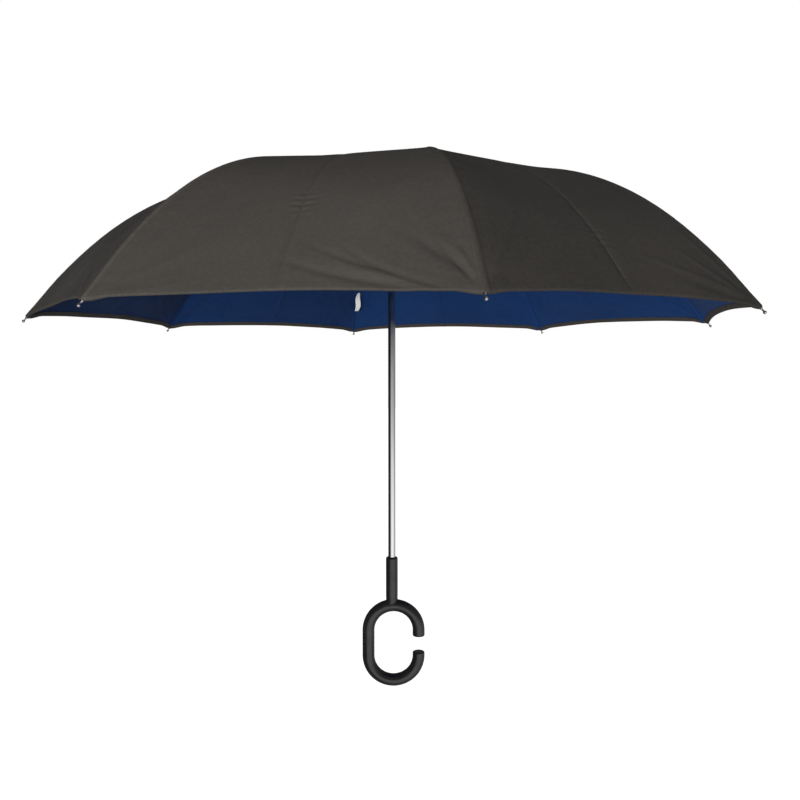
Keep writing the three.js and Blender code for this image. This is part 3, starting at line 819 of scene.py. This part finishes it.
# ---------------------------------------------------------------- handle
def tube(name, points, radius, end_round):
    """A closed round tube in the XZ plane along points, its two flat ends rounded off."""
    tangents = np.gradient(points, axis=0)
    tangents /= np.linalg.norm(tangents, axis=1, keepdims=True)
    rings = [(point, tangent, radius) for point, tangent in zip(points, tangents)]
    for bend in np.linspace(0, math.pi / 2, 6)[1:]:
        reach = end_round * math.sin(bend)
        size = radius - end_round * (1 - math.cos(bend))
        rings.insert(0, (points[0] - tangents[0] * reach, tangents[0], size))
        rings.append((points[-1] + tangents[-1] * reach, tangents[-1], size))

    sides = 56
    build = bmesh.new()
    loops = []
    for point, tangent, size in rings:
        normal = np.array([-tangent[2], 0, tangent[0]])
        loop = []
        for turn in 2 * math.pi * np.arange(sides) / sides:
            offset = math.cos(turn) * normal + math.sin(turn) * np.array([0, 1, 0])
            loop.append(build.verts.new(point + size * offset))
        loops.append(loop)
    for before, after in zip(loops, loops[1:]):
        for side in range(sides):
            following = (side + 1) % sides
            build.faces.new((before[side], before[following], after[following], after[side]))
    build.faces.new(loops[0][::-1])
    build.faces.new(loops[-1])
    bmesh.ops.recalc_face_normals(build, faces=build.faces)
    return mesh_object(name, build)


def half_loop(height, first_turn):
    """Points on half a turn of the C, about a centre at a height."""
    points = []
    for turn in np.linspace(first_turn, first_turn + math.pi, 48):
        points.append((LOOP_OFFSET + LOOP_HALF_WIDTH * math.cos(turn), 0,
                       height + LOOP_HALF_WIDTH * math.sin(turn)))
    return points


def add_handle():
    """The C and the stem are melted into one moulding, with soft edges."""
    round_end = 0.0014
    arm = LOOP_OFFSET + LOOP_HALF_WIDTH
    low_bend = GRIP_RADIUS + LOOP_HALF_WIDTH
    high_bend = low_bend + LOOP_STRAIGHT
    points = [(arm, 0, MOUTH_HIGH + round_end), (arm, 0, (MOUTH_HIGH + high_bend) / 2)]
    points += half_loop(high_bend, 0)
    for height in np.linspace(high_bend, low_bend, 12)[1:-1]:
        points.append((LOOP_OFFSET - LOOP_HALF_WIDTH, 0, height))
    points += half_loop(low_bend, math.pi)
    points.append((arm, 0, MOUTH_LOW - round_end))
    handle = tube("handle_moulding", np.array(points), GRIP_RADIUS, round_end)

    loop_top = high_bend + LOOP_HALF_WIDTH
    stem = turned("stem", [
        (0, loop_top - 0.006), (STEM_RADIUS * 0.86, loop_top - 0.006), (STEM_RADIUS, loop_top + 0.014),
        (STEM_RADIUS, STEM_TOP - 0.0012), (STEM_RADIUS - 0.0012, STEM_TOP), (0, STEM_TOP)])
    combine(handle, "UNION", stem)
    remesh = handle.modifiers.new("melt", "REMESH")
    remesh.mode = "VOXEL"
    remesh.voxel_size = 0.0007
    soften = handle.modifiers.new("soften", "SMOOTH")
    soften.factor = 0.5
    soften.iterations = 14
    apply_modifiers(handle)
    bore = SHAFT_RADIUS + 0.0003
    bottom = STEM_TOP - SOCKET_DEPTH
    top = STEM_TOP + 0.005
    combine(handle, "DIFFERENCE", turned("socket", [(0, bottom), (bore, bottom), (bore, top), (0, top)]))
    shade(handle)
    dress(handle, "handle_plastic", "frame")
    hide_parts("handle")


add_handle()


# ---------------------------------------------------------------- shaft, hub parts and rib tips
def add_shaft():
    """A tube with a slot for the catch spring."""
    low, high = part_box("shaft")
    catch_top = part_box("catch_spring")[1].z
    shaft = turned("shaft_tube", [
        (SHAFT_BORE, low.z), (SHAFT_RADIUS, low.z), (SHAFT_RADIUS, high.z), (SHAFT_BORE, high.z)])
    slot = boxes("slot", (0.002, -0.0019, catch_top - 0.029), (0.008, 0.0019, catch_top + 0.002))
    combine(shaft, "DIFFERENCE", slot)
    shade(shaft, 40)
    dress(shaft, "polished_steel", "frame")
    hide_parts("shaft")


def add_cap():
    """A flat dome with a shallow recess under it."""
    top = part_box("ferrule_cap")[1].z
    bottom = top - CAP_HEIGHT
    cap = turned("crown_cap", [
        (0, bottom + 0.001), (0.0081, bottom + 0.001), (0.0081, bottom), (0.0135, bottom),
        (0.0135, bottom + 0.001), (0.0128, bottom + 0.0028), (0.0106, bottom + 0.0046),
        (0.0075, top), (0, top)])
    rounded(cap, 0.0007)
    dress(cap, "hub_plastic", "frame")
    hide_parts("ferrule_cap")


def add_runner():
    """A sleeve with a press ring below and a slotted crown for the ribs above, and the collar under it."""
    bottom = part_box("runner")[0].z
    pivot = bottom + RUNNER_PIVOT_RISE
    inner = SHAFT_RADIUS + 0.0004
    runner = turned("runner_body", [
        (inner, bottom), (0.0104, bottom), (0.0110, bottom + 0.003), (0.0104, bottom + 0.016),
        (0.0086, bottom + 0.022), (0.0086, pivot - 0.0048), (0.0158, pivot - 0.0048),
        (0.0158, pivot + 0.0042), (inner, pivot + 0.0042)])
    rounded(runner, 0.0006)
    slots = boxes("slots", (0.0099, -0.00155, pivot - 0.006), (0.020, 0.00155, pivot + 0.006),
                  [rib_angle(rib) for rib in range(RIB_COUNT)])
    combine(runner, "DIFFERENCE", slots)
    runner.data.set_sharp_from_angle(angle=math.radians(50))
    dress(runner, "hub_plastic", "runner")
    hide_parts("runner")

    top = pivot - 0.0051
    collar = turned("collar_ring", [
        (0.0089, top - 0.0034), (0.0185, top - 0.0034), (0.0195, top - 0.0024), (0.0195, top), (0.0089, top)])
    rounded(collar, 0.0006)
    dress(collar, "hub_plastic", "runner")
    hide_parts("canopy_collar")


def add_tips():
    """A metal sleeve, a pin and a ball at the end of each rib."""
    slope = slope_at(1.0)
    depth = 0.0044
    seat_radius = RIM_RADIUS - depth * math.sin(slope)
    seat_height = RIM_HEIGHT - depth * math.cos(slope)
    outline = [(0, 0.0003), (0.0017, 0.0003), (0.0017, 0.0030), (0.0011, 0.0036), (0.0010, 0.0045)]
    for turn in np.linspace(0.15, 1, 12):
        outline.append((0.0021 * math.sin(math.pi * turn), 0.0084 - 0.0021 * math.cos(math.pi * turn)))
    outline[-1] = (0, 0.0105)
    for rib in range(RIB_COUNT):
        tip = turned(f"tip_pin_{rib + 1}", outline, 28)
        tip.data.shade_smooth()
        angle = rib_angle(rib)
        level = math.cos(slope)
        out = Vector((math.cos(angle) * level, math.sin(angle) * level, -math.sin(slope)))
        tip.rotation_mode = "QUATERNION"
        tip.rotation_quaternion = out.to_track_quat("Z", "Y")
        tip.location = (seat_radius * math.cos(angle), seat_radius * math.sin(angle), seat_height)
        dress(tip, "polished_steel", f"outer_rib_{rib + 1}")
        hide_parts(f"rib_tip_{rib + 1}")


add_shaft()
add_cap()
add_runner()
add_tips()


# ---------------------------------------------------------------- studio
SURROUND_RADIUS = 5.0
ZENITH = 0.12  # the world's brightness overhead, with 1 at the horizon
GROUND = 0.32  # and straight down
FLOOR_GLOW = 0.75
FLOOR_HALF_SIZE = 14
FLOOR_HEIGHT = -0.45


def studio_material(name, level, glow):
    material = bpy.data.materials.new(name)
    material.use_nodes = True
    shader = material.node_tree.nodes["Principled BSDF"]
    shader.inputs["Base Color"].default_value = (level, level, level, 1)
    shader.inputs["Roughness"].default_value = 1.0
    shader.inputs["Specular IOR Level"].default_value = 0.0
    shader.inputs["Emission Color"].default_value = (1, 1, 1, 1)
    shader.inputs["Emission Strength"].default_value = glow
    return material


def hide_from(obj, kinds):
    """Leaves an object out of what some kinds of rays see."""
    for kind in kinds:
        setattr(obj, f"visible_{kind}", False)


def add_panel(name, corners, material, hidden_from):
    mesh = bpy.data.meshes.new(name)
    mesh.from_pydata(corners, [], [(0, 1, 2, 3)])
    mesh.materials.append(material)
    panel = new_object(name, mesh)
    hide_from(panel, hidden_from)


def add_floor():
    size = FLOOR_HALF_SIZE
    square = ((-size, -size), (size, -size), (size, size), (-size, size))
    corners = [(x, y, FLOOR_HEIGHT) for x, y in square]
    add_panel("floor", corners, studio_material("floor_white", 0.9, FLOOR_GLOW), ("glossy", "diffuse"))


def add_surround():
    """What polished pieces mirror: a studio that is bright low down in front, and dark beside and above."""
    nodes = Nodes("surround", (0, 0, 0), 1.0)
    place = nodes.tree.nodes.new("ShaderNodeTexCoord").outputs["Object"]
    parts = nodes.node("ShaderNodeSeparateXYZ", Vector=place).outputs
    east, south, up = (nodes.math("DIVIDE", parts[name], SURROUND_RADIUS) for name in ("X", "Y", "Z"))
    toward = nodes.math("MULTIPLY_ADD", east, 0.35, nodes.math("MULTIPLY", south, -1))
    front = nodes.range(toward, 0.45, 0.8, 0, 1)
    side = nodes.range(east, -0.7, 0.9, 0.015, 0.30)
    low = nodes.range(up, 0.06, -0.22, 0.07, 1.1)
    aloft = nodes.range(up, 0.35, 0.8, 0, 0.35)
    front_glow = nodes.math("MULTIPLY", nodes.math("MAXIMUM", low, aloft), front)
    glow = nodes.math("MAXIMUM", front_glow, nodes.math("MULTIPLY", side, nodes.math("ADD", low, 0.55)))
    emission = nodes.node("ShaderNodeEmission", Strength=glow)
    nodes.feed(nodes.tree.nodes["Material Output"].inputs["Surface"], emission.outputs[0])
    build = bmesh.new()
    bmesh.ops.create_icosphere(build, subdivisions=4, radius=SURROUND_RADIUS)
    surround = mesh_object("surround", build)
    surround.data.materials.append(nodes.material)
    surround.location = (0, 0, 0.5)
    hide_from(surround, ("camera", "diffuse", "transmission", "volume_scatter", "shadow"))


def add_light(name, place, target, size, power):
    data = bpy.data.lights.new(name, "AREA")
    data.shape = "DISK"
    data.size = size
    data.energy = power
    light = bpy.data.objects.new(name, data)
    bpy.context.scene.collection.objects.link(light)
    light.location = place
    light.rotation_euler = (Vector(target) - Vector(place)).to_track_quat("-Z", "Y").to_euler()
    light.visible_glossy = False


def add_flag():
    """A dark panel that keeps light off from the right."""
    corners = [(2.0, -1.6, -0.4), (2.0, 3.0, -0.4), (2.0, 3.0, 1.6), (2.0, -1.6, 1.6)]
    hidden_from = ("camera", "glossy", "transmission", "volume_scatter")
    add_panel("flag", corners, studio_material("flag_black", 0.02, 0), hidden_from)


def add_world():
    """White at the horizon, dimmer below and overhead, as in a studio with white walls and a dark ceiling."""
    world = bpy.data.worlds.new("studio")
    bpy.context.scene.world = world
    world.use_nodes = True
    tree = world.node_tree
    direction = tree.nodes.new("ShaderNodeTexCoord")
    parts = tree.nodes.new("ShaderNodeSeparateXYZ")
    product = tree.nodes.new("ShaderNodeMath")
    product.operation = "MULTIPLY"
    tree.links.new(direction.outputs["Generated"], parts.inputs[0])
    ramps = [(-0.45, -0.08, GROUND, 1), (0.5, 0.8, 1, ZENITH)]
    for socket, (start, end, first, last) in zip(product.inputs, ramps):
        ramp = tree.nodes.new("ShaderNodeMapRange")
        ramp.interpolation_type = "SMOOTHSTEP"
        for name, number in (("From Min", start), ("From Max", end), ("To Min", first), ("To Max", last)):
            ramp.inputs[name].default_value = number
        tree.links.new(parts.outputs["Z"], ramp.inputs["Value"])
        tree.links.new(ramp.outputs[0], socket)
    tree.links.new(product.outputs[0], tree.nodes["Background"].inputs["Strength"])
    tree.nodes["Background"].inputs["Color"].default_value = (1, 1, 1, 1)


def add_studio():
    add_world()
    add_floor()
    add_surround()
    add_light("key", (-0.85, -2.6, 0.24), (-0.1, -0.15, 0.64), 0.7, 52)
    add_light("low", (-2.5, -0.9, -0.1), (0.35, 0, 0.62), 0.8, 9)
    add_flag()
    bpy.context.scene.view_settings.view_transform = "Standard"


def add_camera():
    data = bpy.data.cameras.new("camera")
    data.sensor_width = 36
    data.lens = 36.03
    data.clip_start = 0.05
    data.clip_end = 60
    camera = bpy.data.objects.new("camera", data)
    bpy.context.scene.collection.objects.link(camera)
    camera.location = (0, -1.21285, 0.50516)
    camera.rotation_euler = Vector((0.0103, 1, -0.0524)).to_track_quat("-Z", "Y").to_euler()
    bpy.context.scene.camera = camera


add_studio()
add_camera()
